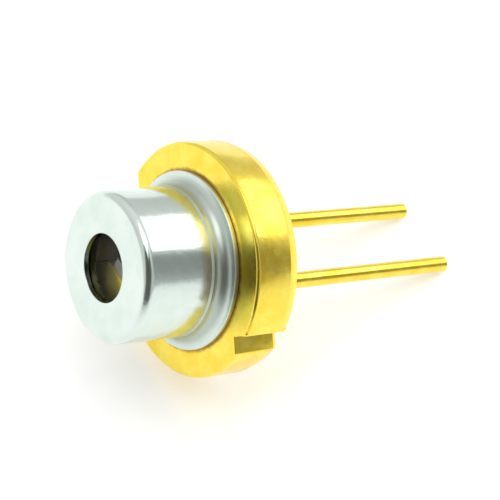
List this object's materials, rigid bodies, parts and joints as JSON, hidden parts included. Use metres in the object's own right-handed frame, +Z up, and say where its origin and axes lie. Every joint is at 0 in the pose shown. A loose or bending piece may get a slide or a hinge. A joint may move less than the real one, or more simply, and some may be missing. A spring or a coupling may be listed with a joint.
{
  "type": "laser diode",
  "caption": "Laser diode in a small round metal can with a glass window, a gold-plated notched stem and straight round leads.",
  "frame": {"origin": "on the ground, under the centre of the part's box, with the part lying on its stem's back rim and its lead ends", "axes": "+Z up; the leads point towards +Y and down to the ground; the window faces -Y and up by the rest tilt; +X along the line through the leads and the rim notches"},
  "size_m": [0.0056, 0.01, 0.0056],
  "materials": {
    "gold_plate": "bright gold plating, fine stamped grain",
    "nickel_cap": "bright nickel plating on a drawn shell",
    "window": "polished, anti-reflection coated",
    "solder_glass": "glossy dark solder glass",
    "bead_glass": "glossy dark sealing glass",
    "braze": "satin silver-copper braze under plating",
    "solder": "satin gold-tin solder",
    "ceramic": "metallised ceramic",
    "chip": "polished semiconductor"
  },
  "bodies": {
    "root": {"stem": "gold_plate", "heat_sink_post": "gold_plate", "post_braze": "braze", "submount_solder": "solder", "submount": "ceramic", "chip_solder": "solder", "laser_chip": "chip", "lead_1": "gold_plate", "lead_2": "gold_plate", "glass_bead_1": "bead_glass", "glass_bead_2": "bead_glass", "chip_wire_1": "gold_plate", "chip_wire_2": "gold_plate", "chip_wire_3": "gold_plate", "submount_wire_1": "gold_plate", "submount_wire_2": "gold_plate", "submount_wire_3": "gold_plate", "cap_shell": "nickel_cap", "window_glass": "window", "window_seal": "solder_glass"}
  },
  "joints": []
}
